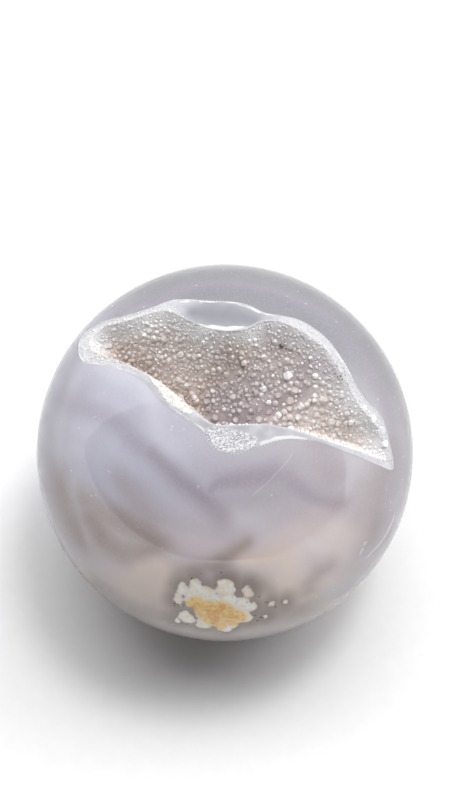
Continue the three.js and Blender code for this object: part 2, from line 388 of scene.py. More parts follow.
def wavered(points, reach, length):
    """Points pushed aside by up to about a reach, each way by the sine of a slanting plane wave."""
    waves = np.array([[0.8, 0.5, -0.4], [-0.5, 0.7, 0.6], [0.6, -0.6, 0.7]]) * 2 * pi / length
    return points + reach * np.sin(points @ waves + np.array([0.4, 2.1, 4.0]))


def streaks(points, routes):
    """How strongly points are marked by the strongest of several streaks on the ball's face: a bell curve
    of the distance to a streak's route over its half width. A route is a list of (bearing, angle down,
    half width in millimetres). A point inside the ball takes the mark of the face above it."""
    away = points - BALL_MIDDLE
    face = BALL_RADIUS * away / (np.linalg.norm(away, axis=1, keepdims=True) + 1e-9)
    marked = np.zeros(len(points))
    for strength, route in routes:
        steps = np.linspace(0, len(route) - 1, 10 * len(route) - 9)
        bearing, down, width = np.array(route, dtype=float).T
        turns = np.unwrap(np.radians(bearing)), np.radians(down), width
        bearing, down, width = (np.interp(steps, np.arange(len(route)), turn) for turn in turns)
        places = BALL_RADIUS * directions(bearing, down)
        nearest = in_parts(
            lambda part: (((part[:, None] - places) ** 2).sum(axis=2) / (width * MM) ** 2).min(axis=1), face
        )
        marked = np.maximum(marked, strength * np.exp(-nearest))
    return marked


def lobes(points, spots):
    """How far, in millimetres, points lie inside the nearest of several round lobes on the front of the
    ball; outside it is negative. A lobe is (bearing, angle down, radius in millimetres), and it is longer
    downward."""
    away = points - BALL_MIDDLE
    radius = np.linalg.norm(away, axis=1) + 1e-9
    bearing, down = np.arctan2(away[:, 1], away[:, 0]), np.arccos(away[:, 2] / radius)
    inside = np.full(len(points), -9.0)
    for toward, lower, size in spots:
        across = turn_between(radians(toward), bearing) * sin(radians(lower))
        along = (down - radians(lower)) / LOBE_STRETCH
        inside = np.maximum(inside, size - BALL_RADIUS / MM * np.hypot(across, along))
    return inside


MAUVE_STREAKS = [
    (0.6, [(176, 56, 3), (-177, 46, 2.6), (-168, 38, 2.2), (-154, 32, 1.9), (-134, 31, 1.6),
           (-118, 32, 1.6)]),
    (0.9, [(-134, 31, 1.5), (-118, 32, 1.5), (-107, 34, 1.4), (-99, 37, 1.3)]),
    (0.7, [(-99, 37, 2), (-92, 41, 2.2)]),
    (0.85, [(-98, 34, 0.8), (-95, 32, 1), (-90, 31, 1.6), (-81, 30.5, 1.9), (-73, 31, 2),
            (-65, 32, 2)]),
    (0.7, [(-65, 32, 2), (-59, 35, 1.9), (-55, 41, 1.8), (-51, 45, 1.5), (-47, 48, 1.3), (-42, 53, 1.2)]),
    (0.3, [(-90, 35, 3), (-76, 35, 3.5), (-63, 40, 4), (-54, 49, 3.5)]),
    (0.7, [(138, 45, 1.6), (127, 38, 1.5), (114, 37, 1.5), (95, 35, 1.4), (72, 35, 1.4), (53, 39, 1.5)]),
    (0.6, [(53, 39, 1.5), (38, 43, 1.5), (26, 46, 1.6), (12, 49, 1.6), (-1, 54, 1.8), (-10, 59, 1.8)]),
]
PALE_STREAKS = [
    (0.8, [(166, 48, 1.6), (171, 36, 1.4), (180, 27, 1.4), (-166, 22, 1.6), (-150, 22, 2.4),
           (-125, 24, 3)]),
    (0.35, [(-168, 57, 3), (-161, 54, 3), (-156, 56, 2.4)]),
    (0.5, [(-84, 39, 1.6), (-78, 41, 1.6), (-74, 45, 1.8)]),
    (0.3, [(-170, 50, 3), (-164, 44, 3), (-154, 40, 3)]),
    (0.9, [(175, 52, 2), (-177, 56, 2.2), (-169, 58, 2.2), (-161, 62, 2.2)]),
    (0.5, [(-128, 76, 2.4), (-118, 78, 2.2)]),
    (1.0, [(-55, 83, 2.4), (-48, 87, 3), (-39, 91, 3)]),
]
SMOKE_AND_SHADE_PATCHES = [
    (0.4, [(-139, 44, 2.4), (-131, 45, 3), (-126, 46, 3), (-117, 48, 2.6)]),
    (0.75, [(-146, 58, 3), (-137, 57, 2.6), (-127, 53, 2.8), (-118, 51, 2.6), (-112, 51, 2)]),
    (0.85, [(-139, 61, 3), (-133, 62, 3.4), (-126, 62, 3.4), (-119, 58, 2.6), (-113, 54, 2)]),
    (0.8, [(-158, 66, 5), (-149, 69, 5), (-142, 69, 4)]),
    (0.55, [(-108, 61, 1.8), (-98, 58, 1.8), (-93, 56, 2)]),
    (0.85, [(-96, 57, 2), (-92, 54, 2.2), (-87, 51, 2), (-82, 49, 1.6)]),
    (0.8, [(-92, 62, 2), (-84, 62, 2.4), (-78, 64, 2), (-76, 66, 1.6)]),
    (0.6, [(-54, 66, 2), (-59, 67, 2.4), (-63, 70, 2.4), (-64, 74, 2.4)]),
    # painted shade: this patch lies low on the front, where a dark stand under the ball darkened the stone
    (0.85, [(-130, 89, 4), (-112, 84, 3.2), (-100, 83, 4.5), (-82, 82, 5.5), (-68, 84, 3.6)]),
]
ROSE_PATCHES = [
    (0.9, [(-14, 62, 3.5), (-26, 60, 4.5), (-36, 62, 5), (-38, 70, 5)]),
    (0.6, [(-44, 52, 3.5), (-34, 56, 3.5)]),
    (0.5, [(-40, 42, 3.2), (-32, 35, 3.2)]),
]
TAN_PATCHES = [
    (1.4, [(-120, 76, 3.2), (-116, 67, 3.4), (-110, 61, 2.6), (-108, 66, 3), (-114, 68, 3.6)]),
    (0.95, [(-83, 56, 2.2), (-75, 57, 2.8), (-69, 58, 3), (-68, 62, 2.8), (-73, 72, 2.8)]),
    (0.45, [(-62, 53, 3), (-54, 56, 3.4), (-48, 63, 3.6)]),
]
LOBE_STRETCH = 1.5  # how much longer a lobe is than wide
WHITE_LOBES = [
    (-103, 67, 0.9), (-99, 65, 1.1), (-96, 67, 1.2), (-104, 72.5, 0.8), (-99, 70.5, 1.7), (-94.5, 71, 1.9),
    (-89, 71, 1.6), (-85, 73, 1.4), (-82, 74, 0.8), (-95, 76, 2.4), (-89, 78, 2.4), (-84.5, 79, 1.4),
    (-90, 84, 1.5), (-96, 83, 1.3), (-101, 80.5, 1.3), (-90, 64.5, 1.35), (-83, 67, 0.85), (-78, 80, 0.45),
    (-104, 84, 0.5), (-76, 74, 0.4), (-72, 75, 0.3),
]
OCHRE_LOBES = [
    (-98.5, 73, 1.2), (-95, 75.5, 1.8), (-91, 77, 2.2), (-87, 79.5, 1.7), (-92, 84, 1.3), (-94, 79, 1.4),
]
FEATHER_ROUTE = [  # pale flakes
    (0.9, [(-42, 71, 1), (-45, 73, 0.8)]),
    (0.7, [(-60, 73, 0.5), (-55, 75, 0.6), (-50, 77, 0.5)]),
]
RIM_HIGHLIGHT_ROUTE = [  # painted highlight: a bright white line where agate and quartz meet
    (1.0, [(-150, 16, 1.2), (-123, 17.6, 1.4), (-111, 18.7, 1.4), (-104, 20.8, 1.4), (-97, 22.3, 1.4)]),
    (1.0, [(-97, 22.3, 1.4), (-89, 23.3, 1.4), (-72, 23, 1.4), (-50, 24.5, 1.4), (-38, 29.6, 1)]),
    (0.7, [(152, 56.7, 1.4), (163, 48.3, 1.4), (167, 41, 1.2), (172, 32.6, 1)]),
    (0.9, [(118, 30.6, 1.2), (91, 25.7, 1.6), (65, 23.6, 1.4), (50, 25.5, 1)]),
    (1.0, [(36, 31.4, 1.2), (17, 34.9, 1.4), (8, 39.2, 1)]),
]
PIT_ROUTE = [  # rows of small white pits
    (1.0, [(-135, 20, 1.2), (-127, 21, 1.4), (-118, 22, 1.2)]),
    (0.8, [(-116, 50, 1), (-111, 53, 1)]),
]
QUARTZ_IOR = 1.54


def polished_agate():
    """The ball: rings from the hollow's middle up its wall to the rim, then from the rim over the polished
    face to the foot, turning from the rim's bearings to even ones on the way."""
    rim, _ = closed_curve(RIM_OUTLINE, STATIONS)
    shares = 1 - (1 - np.arange(1, HOLLOW_RINGS + 1) / HOLLOW_RINGS) ** HOLLOW_CROWDING
    plan = rings_between(np.broadcast_to(HOLLOW_MIDDLE, rim.shape), rim, shares)
    depth = on_rings(contact_depth, plan)
    depth[-1] = 0
    bearing = np.arctan2(rim[:, 1], rim[:, 0])
    down = np.arcsin(np.linalg.norm(rim, axis=1) / BALL_RADIUS)
    even = bearing[0] + np.arange(STATIONS) * 2 * pi / STATIONS
    share = np.arange(1, FACE_RINGS)[:, None] / FACE_RINGS
    blend = np.clip(share / EVEN_SHARE, 0, 1)
    bearings = bearing + turn_between(bearing, even) * blend**2 * (3 - 2 * blend)
    face = BALL_MIDDLE + BALL_RADIUS * directions(bearings, down + (pi - down) * share)
    face[..., 2] = np.maximum(face[..., 2], 0)
    middle = HOLLOW_MIDDLE[None]
    rings = np.concatenate([below(plan, depth), face])
    piece, points = skin("polished_agate", rings, below(middle, contact_depth(middle))[0], (0, 0, 0))
    # Places on the hollow's wall, and closer together along the rim, from which the bands are counted.
    wall = np.concatenate([rings[: HOLLOW_RINGS - 1 : 5, ::8].reshape(-1, 3), rings[HOLLOW_RINGS - 1, ::2]])
    soft = wavered(points, 0.9 * MM, 16 * MM)
    carry(
        piece,
        layer=distance_to(points, wall) / MM,
        mauve=streaks(wavered(points, 0.25 * MM, 9 * MM), MAUVE_STREAKS),
        pale=streaks(soft, PALE_STREAKS),
        smoke=streaks(soft, SMOKE_AND_SHADE_PATCHES),
        rose=streaks(soft, ROSE_PATCHES),
        tan=streaks(soft, TAN_PATCHES),
        contact=streaks(points, RIM_HIGHLIGHT_ROUTE),
        white_mineral=lobes(points, WHITE_LOBES),
        ochre=lobes(points, OCHRE_LOBES),
        feather=streaks(points, FEATHER_ROUTE),
        pits=streaks(points, PIT_ROUTE),
    )
    return piece


def hairline():
    """A node group for a fine straight crack or scratch: the mask is the closeness to a slanting plane,
    within reach of the crack's middle."""
    group = bpy.data.node_groups.new("hairline", "ShaderNodeTree")
    sockets = {"Place": "Vector", "Across": "Vector", "Offset": "Float", "Middle": "Vector"}
    for name, kind in {**sockets, "Reach": "Float", "Width": "Float"}.items():
        group.interface.new_socket(name, in_out="INPUT", socket_type="NodeSocket" + kind)
    group.interface.new_socket("Mask", in_out="OUTPUT", socket_type="NodeSocketFloat")
    tree = Nodes(group)
    given = tree.add("NodeGroupInput").outputs
    across = tree.vector("DOT_PRODUCT", given["Place"], given["Across"])
    aside = tree.math("SUBTRACT", across, given["Offset"])
    close = tree.span(tree.math("DIVIDE", tree.math("ABSOLUTE", aside), given["Width"]), 1.0, 0.3)
    away = tree.math("DIVIDE", tree.vector("DISTANCE", given["Place"], given["Middle"]), given["Reach"])
    tree.add("NodeGroupOutput", {"Mask": tree.times(close, tree.span(away, 1.0, 0.75))})
    return group


HAIRLINE = hairline()
HAIRLINE_BEND = 0.4 * MM  # at most; the offset makes up for its mean, which is half of that
HAIRLINES = [  # which way is across, offset, middle, reach and half width in millimetres, and strength
    ((-0.69, 0.525, -0.499), -30.78, (26.2, -18.1, 6.8), 5.0, 0.14, 0.4),
    ((0.318, -0.026, -0.948), -23.18, (7.9, -15.4, 27.5), 5.4, 0.08, 0.3),
]


def agate_material():
    """Translucent banded stone under a hard polish. From the top to the front's foot it goes from blue-grey
    over a rosy grey to a warm greige; at the back past the hollow and on its far half it is darker, which
    is painted shade. Bands follow the hollow's wall, and mauve, rose, smoky, tan and pale clouds lie over
    them; the smoky ones are partly painted shade low on the front, and a white line along the rim is a
    painted highlight."""
    material, tree = new_material("polished banded agate")
    place = tree.add("ShaderNodeTexCoord").outputs["Object"]
    parts = tree.add("ShaderNodeSeparateXYZ", {"Vector": place}).outputs
    wander = tree.noise(place, 60.0)
    fine = tree.noise(place, 260.0, 3.0)
    grain = tree.noise(place, 2200.0)
    front = tree.math("SUBTRACT", tree.times(parts["Z"], -0.6), parts["Y"])
    front = tree.math("MULTIPLY_ADD", wander, 6 * MM, front)
    from_middle = tree.vector("SUBTRACT", place, tuple(BALL_MIDDLE))
    # painted shade: darker toward the back and top of the ball, evening out the stronger light from above
    back_shade = tree.vector("DOT_PRODUCT", from_middle, (0.3, 0.85, 0.4))
    layer = tree.math("MULTIPLY_ADD", wander, 5.0, tree.mark("layer"))
    bands = tree.math("SINE", tree.times(layer, 1.3))
    uneven = tree.math("ADD", 1.0, tree.math("MULTIPLY_ADD", fine, 0.5, -0.25))

    def share(name, strength):
        return tree.times(tree.mark(name), strength)

    def cloud(name, strength):
        return tree.times(tree.times(uneven, tree.mark(name)), strength)

    rightward = tree.span(parts["X"], -20 * MM, 14 * MM)
    colour = tree.glaze(
        tree.mix(rightward, linear(203, 202, 216), linear(196, 191, 198)),
        (tree.span(front, -16 * MM, -2 * MM), 226, 216, 221),
        (tree.span(front, 0 * MM, 8 * MM), 236, 221, 210),
        # painted shade toward the back and top
        (tree.span(back_shade, 10 * MM, 25 * MM), 148, 147, 154),
        (tree.span(bands, -1.0, 1.0, 0.0, 0.1), 160, 156, 170),
        (share("pale", 0.7), 220, 219, 229),
        (share("mauve", 0.78), 166, 155, 169),
        (cloud("rose", 0.85), 176, 164, 166),
        # the smoky clouds, partly painted shade low on the front
        (cloud("smoke", 0.85), 166, 147, 135),
        (cloud("tan", 0.85), 234, 218, 208),
        (tree.span(grain, 0.35, 0.7, 0.0, 0.06), 240, 240, 245),
    )
    # painted shade: the half turned from the camera is darkened, to offset the bright floor that the polish
    # mirrors near the outline
    far_half_shade = tree.span(tree.vector("DOT_PRODUCT", from_middle, (0, -0.39, 0.92)), 26 * MM, 6 * MM)
    colour = tree.mix(far_half_shade, colour, linear(174, 173, 176), blend_type="MULTIPLY")
    # painted highlight: a white line along the rim, where the agate meets the quartz
    contact = tree.span(tree.math("MULTIPLY_ADD", fine, 0.5, tree.mark("layer")), 0.55, 0.2)
    contact = tree.times(contact, tree.span(tree.mark("contact"), 0.1, 0.6, 0.1, 0.9))
    spacing = tree.add("ShaderNodeTexVoronoi", {"Vector": place, "Scale": 900.0}).outputs["Distance"]
    dot = tree.span(spacing, 0.22, 0.1)
    rare = tree.times(dot, tree.span(tree.noise(place, 500.0, 1.0), 0.62, 0.68))
    flaky = tree.span(tree.times(tree.mark("feather"), tree.noise(place, 1100.0, 4.0)), 0.3, 0.5)
    colour = tree.glaze(
        colour,
        (contact, 242, 242, 246),
        (tree.times(rare, 0.5), 240, 240, 246),
        (tree.times(dot, tree.mark("pits")), 236, 236, 240),
        (tree.times(flaky, 0.7), 228, 220, 222),
    )
    wobble = tree.add("ShaderNodeTexNoise", {"Vector": place, "Scale": 300.0}).outputs["Color"]
    bent = tree.vector("MULTIPLY_ADD", wobble, (HAIRLINE_BEND,) * 3, place)
    for across, offset, middle, reach, width, strength in HAIRLINES:
        inputs = {
            "Place": tree.vector("SUBTRACT", bent, tuple(BALL_MIDDLE)),
            "Across": across,
            "Offset": offset * MM + HAIRLINE_BEND / 2 * sum(across),
            "Middle": tuple(MM * value for value in middle),
            "Reach": reach * MM,
            "Width": width * MM,
        }
        line = tree.add("ShaderNodeGroup", inputs, node_tree=HAIRLINE).outputs["Mask"]
        colour = tree.glaze(colour, (tree.times(line, strength), 240, 238, 242))

    # The white mineral with its ochre heart, in a smoky halo with black specks.
    ragged = tree.math("SUBTRACT", tree.noise(place, 900.0, 4.0, 0.6), 0.5)
    rounded = tree.math("SUBTRACT", tree.noise(place, 520.0, 1.0), 0.5)
    mineral = tree.mark("white_mineral")
    outline = tree.math("MULTIPLY_ADD", rounded, 1.5, mineral)
    white = tree.span(tree.math("MULTIPLY_ADD", ragged, 0.5, outline), -0.2, 0.1)
    black = tree.times(tree.span(spacing, 0.3, 0.2), tree.span(ragged, 0.02, 0.08))
    black = tree.times(tree.span(mineral, -1.6, -0.6), black)
    halo = tree.span(mineral, -3.0, 0.0, 0.0, 0.7)
    colour = tree.glaze(colour, (halo, 124, 106, 94), (black, 50, 38, 32))
    lumpy = tree.mix(tree.span(ragged, -0.16, 0.1), linear(248, 230, 210), linear(255, 252, 244))
    lumpy = tree.glaze(lumpy, (tree.span(outline, 0.5, 0.1, 0.0, 0.3), 214, 198, 186))
    ochre = tree.span(tree.math("MULTIPLY_ADD", ragged, 2.2, tree.mark("ochre")), -0.8, 0.3)
    rust = tree.mix(tree.span(ragged, -0.12, 0.1), linear(232, 172, 78), linear(253, 216, 136))
    lumpy = tree.mix(ochre, lumpy, rust)
    spots = tree.times(tree.span(spacing, 0.25, 0.15), tree.span(ragged, 0.0, 0.1))
    lumpy = tree.glaze(lumpy, (tree.times(spots, 0.6), 150, 112, 80))
    inputs = {
        "Base Color": tree.mix(white, colour, lumpy),
        "Roughness": 0.03,
        "IOR": QUARTZ_IOR,
        "Subsurface Weight": 0.8,
        "Subsurface Radius": (1.0, 0.9, 0.95),
        "Subsurface Scale": 0.5 * MM,
    }
    tree.surface(inputs)
    return material


agate = polished_agate()
agate.data.materials.append(agate_material())
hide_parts("agate_sphere")
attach(agate, "root")

# The crust. Quartz grew on the hollow's wall, a few millimetres thick: where the ball's face cuts it, it
# is polished with the rest, and inside its lip it is a ground that the small crystals stand on. On the
# right and at the left end the cut only grazed it, and it stays frosted.
BACK_GAP = 0.15 * MM  # between the crust's back and the agate
GROUND_RINGS = 70
GROUND_CROWDING = 1.6  # as for the hollow's rings
EDGE_RINGS = 10
BACK_RINGS = 20
FROST_SINK = 0.35 * MM  # how far frosted ground lies below the ball's face
FROST_RUN = 0.7 * MM  # how far in from the rim it takes to get there
FROST_BEARINGS = [  # how frosted the crust is toward a bearing
    (-24, 0), (-12, 0.75), (60, 0.75), (76, 0), (116, 0), (128, 1), (158, 1), (170, 0),
]
CREAM_ROUTE = [  # crumbly stretch of the lip
    (1.3, [(180, 20.5, 0.5), (-170, 18, 0.9), (-154, 16, 1.3), (-141, 15, 1.1), (-130, 15, 0.5)]),
]
FRACTURE_ROUTE = [  # pocket of cracked quartz
    (1.3, [(-101, 19, 1.5), (-89, 19.9, 1.9), (-79, 20.4, 1.7), (-71, 21.4, 1.2)]),
]
WHITE_ROUTE = [  # white lines on the polished quartz
    (1.0, [(-63, 23.2, 0.8), (-53, 23.8, 0.7), (-44, 26.0, 0.5), (-38, 29.6, 0.4)]),
    (0.95, [(126, 22, 0.6), (122, 18.2, 0.8), (111, 15.4, 0.9), (89, 13.6, 0.8), (67, 15.6, 0.6)]),
    (0.9, [(116, 29.5, 0.5), (105, 26.3, 0.6), (91, 25.3, 0.6), (79, 24.5, 0.6), (65, 23.4, 0.5)]),
]
TONGUE_ROUTE = [  # darker, clearer quartz
    (1.0, [(112, 22.5, 3), (98, 20.0, 5), (80, 19.0, 4.6), (66, 19.5, 3)]),
    (0.7, [(55, 23, 1.2), (36, 30, 1.2), (17, 34, 1.2), (8, 38, 1.2), (2, 44, 1.2)]),
]
BROWN_ROUTE = [  # stains of the ground, as the next
    (0.75, [(154, 45, 2), (160, 34, 2.6), (170, 24, 2.4)]),
    (0.95, [(170, 20, 2.2), (186, 12, 2.2)]),
    (0.65, [(184, 13, 2.4), (150, 8, 2), (121, 7, 2), (55, 11, 1.8)]),
]
LILAC_ROUTE = [
    (0.95, [(-130, 12, 2.6), (-60, 7, 3.4), (-22, 13, 3.6), (-4, 20, 3.4), (2, 27, 2.4)]),
    (0.65, [(-170, 6, 3), (0, 0, 3.4), (20, 14, 3.4), (14, 22, 3), (16, 32, 2.6), (7, 37, 2.4)]),
    (0.4, [(52, 20, 2.6), (34, 27, 3), (18, 31, 3)]),
    (0.6, [(-33, 20, 2), (-16, 29, 2)]),
]


def lip_shares(rim):
    """How far along each spoke from the hollow's middle to the rim the lip lies."""
    lip, _ = closed_curve(LIP_OUTLINE, 4 * STATIONS)
    bearings = bearing_of(lip)
    order = np.argsort(bearings)
    reach = np.linalg.norm(lip - HOLLOW_MIDDLE, axis=1)[order]
    spokes = np.interp(bearing_of(rim), bearings[order], reach, period=2 * pi)
    return spokes / np.linalg.norm(rim - HOLLOW_MIDDLE, axis=1)


def frosting(points):
    """How frosted the crust is at places on the plan, by their bearing from the hollow's middle."""
    bearings, shares = np.array(FROST_BEARINGS).T
    return np.interp(np.degrees(bearing_of(points)), bearings, shares, period=360)


def frost_sink(points):
    """How far frosted crust lies below the ball's face: going in from the rim it nears its limit as a
    falling exponential."""
    return FROST_SINK * (1 - np.exp(-distance_to(points, RIM_WALL[0]) / FROST_RUN)) * frosting(points)


def ground_depth(points):
    """Depth of the crystals' ground: the fall from the lip and the frosted sink, as the legs of a right
    angle, so that it is never less than either."""
    return np.hypot(fall(points, LIP_WALL), frost_sink(points))


def quartz_crust():
    """The crust as rings: over the ground from the middle out to the lip, across the edge to the rim, and
    home along the back. It also returns how readily crystals grow on each face between two rings."""
    rim, _ = closed_curve(RIM_OUTLINE, STATIONS)
    middle = np.broadcast_to(HOLLOW_MIDDLE, rim.shape)
    lip = middle + (rim - middle) * lip_shares(rim)[:, None]
    shares = 1 - (1 - np.arange(1, GROUND_RINGS + 1) / GROUND_RINGS) ** GROUND_CROWDING
    inner = rings_between(middle, lip, shares)
    inner_depth = on_rings(ground_depth, inner)
    edge = rings_between(lip, rim, np.arange(1, EDGE_RINGS + 1) / EDGE_RINGS)
    edge_depth = on_rings(frost_sink, edge)
    edge_depth[-1] = 0
    inner_depth[-1] = frost_sink(lip)
    back = rings_between(rim, middle, (np.arange(1, BACK_RINGS) / BACK_RINGS) ** HOLLOW_CROWDING)
    back_depth = on_rings(contact_depth, back) - BACK_GAP
    plan = np.concatenate([inner, edge, back])
    depth = np.concatenate([inner_depth, edge_depth, back_depth])
    centre = HOLLOW_MIDDLE[None]
    front_pole = below(centre, ground_depth(centre))[0]
    back_pole = below(centre, contact_depth(centre) - BACK_GAP)[0]
    piece, points = skin("quartz_crust", below(plan, depth), front_pole, back_pole)
    grows = np.zeros(plan.shape[:2])
    grows[: GROUND_RINGS - 1] = 1
    grows[GROUND_RINGS - 1 : GROUND_RINGS + EDGE_RINGS - 1] = frosting(edge)
    flat = plan.reshape(-1, 2)
    ends = np.concatenate([flat, centre, centre])
    sunken = np.append(np.clip(depth.ravel() / MM, 0, 1), [1, 1])  # stains fade out toward the face
    carry(
        piece,
        from_rim=distance_to(ends, RIM_WALL[0]) / MM,
        from_lip=distance_to(ends, LIP_WALL[0]) / MM,
        depth=np.concatenate([depth.ravel(), np.full(2, HOLLOW_DEPTH)]) / MM,
        frost=frosting(ends),
        cream=streaks(points, CREAM_ROUTE),
        fractures=streaks(points, FRACTURE_ROUTE),
        white=streaks(points, WHITE_ROUTE),
        tongue=streaks(points, TONGUE_ROUTE),
        contact=streaks(points, RIM_HIGHLIGHT_ROUTE),
        brown=streaks(points, BROWN_ROUTE) * sunken,
        lilac=streaks(points, LILAC_ROUTE) * sunken,
    )
    return piece, grows[:-1]


def quartz_material():
    """Milky quartz: half clear where it is polished and clearest in the tongue at the back, cracked in one
    pocket, crumbly and cream along a part of the lip, frosted where the cut grazed it, bright just inside
    the lip and duller deep in the hollow."""
    material, tree = new_material("milky quartz")
    place = tree.add("ShaderNodeTexCoord").outputs["Object"]
    cloud = tree.noise(place, 400.0, 4.0)
    crumb = tree.noise(place, 2400.0, 4.0, 0.65)
    depth, frost = tree.mark("depth"), tree.mark("frost")

    def crumbs(dark, light, low=0.35, high=0.65):
        return tree.mix(tree.span(crumb, low, high), linear(*dark), linear(*light))

    colour = tree.mix(tree.span(cloud, 0.3, 0.7), linear(190, 190, 196), linear(212, 212, 217))
    colour = tree.glaze(colour, (tree.times(tree.mark("tongue"), 0.9), 138, 138, 146))
    colour = tree.mix(frost, colour, crumbs((196, 196, 201), (222, 221, 225)))
    colour = tree.mix(tree.span(depth, 0.1, 0.6), colour, crumbs((234, 233, 236), (247, 246, 248)))
    colour = tree.mix(tree.span(depth, 1.5, 4.5), colour, crumbs((214, 203, 199), (236, 228, 225)))
    # painted highlight: a patchy white line along the rim, where the crust meets the agate
    line = tree.math("MULTIPLY_ADD", cloud, 0.9, tree.mark("from_rim"))
    line = tree.math("MULTIPLY_ADD", crumb, 0.5, line)
    bright = tree.span(tree.mark("contact"), 0.1, 0.6, 0.1, 1.0)
    patchy = tree.span(tree.noise(place, 330.0, 3.0), 0.4, 0.56, 0.15, 1.0)
    white = tree.times(tree.span(line, 1.05, 0.75), tree.times(bright, patchy))
    brushed = tree.span(tree.math("MULTIPLY_ADD", cloud, -0.8, tree.mark("white")), 0.05, 0.5)
    lip = tree.span(tree.mark("from_lip"), 0.35, 0.1, 0.0, 0.35)
    colour = tree.glaze(
        colour,
        (tree.mark("brown"), 194, 176, 166),
        (tree.mark("lilac"), 172, 161, 166),
        (tree.math("MAXIMUM", white, brushed), 248, 248, 250),
        (tree.times(tree.math("SUBTRACT", 1.0, frost), lip), 226, 225, 228),
    )
    bent = tree.vector("MULTIPLY", place, (1.0, 1.7, 1.0))
    wide, narrow = (
        tree.math("ABSOLUTE", tree.math("SUBTRACT", tree.noise(bent, scale, 3.0), 0.5))
        for scale in (1000.0, 1500.0)
    )
    cracked = tree.glaze(
        tree.mix(tree.span(cloud, 0.35, 0.6), linear(214, 214, 220), linear(234, 234, 238)),
        (tree.span(wide, 0.09, 0.03), 250, 250, 252),
        (tree.span(narrow, 0.06, 0.02), 178, 178, 184),
    )
    colour = tree.mix(tree.span(tree.mark("fractures"), 0.35, 0.7), colour, cracked)
    cream = tree.span(tree.math("MULTIPLY_ADD", crumb, 1.5, tree.mark("cream")), 1.25, 1.4)
    colour = tree.mix(cream, colour, crumbs((224, 208, 194), (250, 247, 243), 0.38, 0.5))
    matt = tree.math("MAXIMUM", frost, tree.math("MAXIMUM", cream, tree.span(depth, 0.2, 0.8)))
    bump = tree.add("ShaderNodeBump", {"Height": tree.times(crumb, matt), "Distance": 0.15 * MM})
    inputs = {
        "Base Color": colour,
        "Roughness": tree.span(matt, 0.0, 1.0, 0.05, 0.5),
        "Normal": bump.outputs["Normal"],
        "IOR": QUARTZ_IOR,
        "Subsurface Weight": 0.7,
        "Subsurface Radius": (1.0, 1.0, 1.0),
        "Subsurface Scale": 0.5 * MM,
    }
    tree.surface(inputs)
    return material


crust, crust_grows = quartz_crust()
crust.data.materials.append(quartz_material())
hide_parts("druzy_crust")
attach(crust, "root")

# The crystals. About two thousand small points of pale, half clear quartz stand side by side on the
# crust's ground, over stained feet, each a six-sided prism with a six-sided tip that leans its own way.
# Each is coloured lighter toward its tip, which is a painted highlight.
CRYSTAL_SEED = 5
CRYSTAL_TRIES = 8000
CRYSTAL_SPREAD = 0.2 * MM  # how far a try may land from the middle of a face, each way
CRYSTAL_GAPS = (0.36 * MM, 0.66 * MM)  # from one to the next, on frosted ground and on the floor
GAP_DEPTHS = (0.4 * MM, 4.4 * MM)  # of the ground, between which gaps grow from one to the other
GAP_SPAN = (0.5, 1.4)  # least and greatest, in such gaps
CRYSTAL_GIRTH = (0.55, 0.72)  # radius in gaps, on frosted ground and on the floor
GIRTH_DEPTHS = (0.4 * MM, 2.4 * MM)
GIRTH_SPAN = (0.8, 1.15)
EDGE_DEPTH = 0.12 * MM  # shallower ground stays free
TEETH_GAP = 0.6 * MM  # the least gap along the front lip
BARE_FLOOR = 0.4  # share of crystals missing on the lilac part of the floor
CRYSTAL_LEAN = 0.36
TIP_SLOPE = 0.56  # height of a tip, in radii
TIP_ASIDE = 0.3  # how far a tip may stand aside, each way, in radii
SHOULDER_WAVER = 0.18  # the same for how high a shoulder's corners stand
DARK_SIZE = 0.55  # of the dark crystals beside the others
ROOM_SHARE = 0.9  # of the depth below the ball's face, which a crystal may take up
SUNK = 0.8  # how far a foot goes into the ground, in radii
SIDES = 6
ROSY_ROUTE = [(0.7, [(1, 25, 2.6), (-10, 36, 3.0), (-13, 46, 2.6), (-17, 54, 2.0)])]  # rosier, larger ones
TEETH_ROUTE = [  # where bigger crystals stand along the front lip
    (1.0, [(-128, 14.5, 1), (-112, 15.4, 1), (-100, 16.6, 1), (-84, 16.5, 1), (-66, 19, 0.8)]),
]
SPECK_ROUTE = [  # where dark ones stand
    (1.0, [(40, 23, 0.7), (36, 24.5, 0.5)]),
    (0.9, [(8, 36, 1.2), (6, 38.5, 1.2), (2, 46, 1)]),
]
WHITE_POINTS = [  # clearer, whiter crystals: bearing, angle down, and radius in millimetres
    (20, 23.7, 0.85), (17, 16.2, 0.6), (148, 6.4, 0.4), (164, 14, 0.5), (10, 30.4, 0.5), (-1, 19, 0.45),
    (-3, 30.1, 0.6), (-14, 25.4, 0.6), (-99, 3.8, 0.4), (117, 14, 0.45), (142, 35.1, 0.5), (106, 10, 0.4),
    (37, 23.6, 0.35), (-8, 48, 0.7), (-11, 53, 0.8), (-14, 56, 0.7), (-6, 44, 0.6), (-20, 31, 0.6),
]


